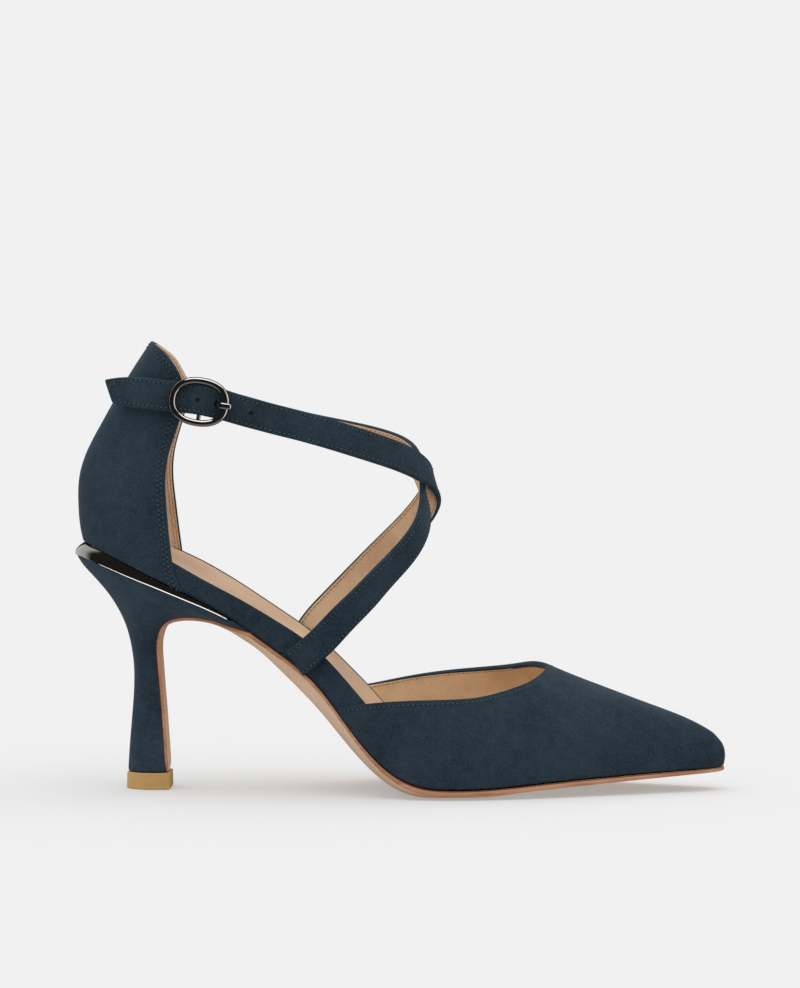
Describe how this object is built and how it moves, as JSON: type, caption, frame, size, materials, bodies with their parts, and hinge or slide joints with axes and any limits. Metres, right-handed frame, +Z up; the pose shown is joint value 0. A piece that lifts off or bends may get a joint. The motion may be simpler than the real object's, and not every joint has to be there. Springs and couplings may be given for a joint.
{
  "type": "heeled shoe",
  "caption": "Heeled pump with a pointed toe, an open waist, a tall closed heel counter, crossed ankle straps with an oval buckle and a slim flared covered heel.",
  "frame": {"origin": "middle of the shoe's box, on the floor that heel and forefoot stand on", "axes": "+X from the heel to the toe, +Z up, -Y towards the outer side with the buckle"},
  "size_m": [0.234, 0.0804, 0.1615],
  "materials": {
    "suede": "dark navy-teal suede with a short nap",
    "lining": "smooth tan lining leather",
    "sole_leather": "satin tan sole with an orange-brown edge",
    "rubber": "matte tan",
    "gun_metal": "polished gun-metal plating"
  },
  "bodies": {
    "root": {"upper": "suede", "insole": "lining", "outsole": "sole_leather", "heel_wedge": "gun_metal", "heel": "suede", "top_piece": "rubber", "strap_over": "suede", "strap_under": "suede", "buckle_frame": "gun_metal", "buckle_prong": "gun_metal", "buckle_tab": "suede"}
  },
  "joints": []
}
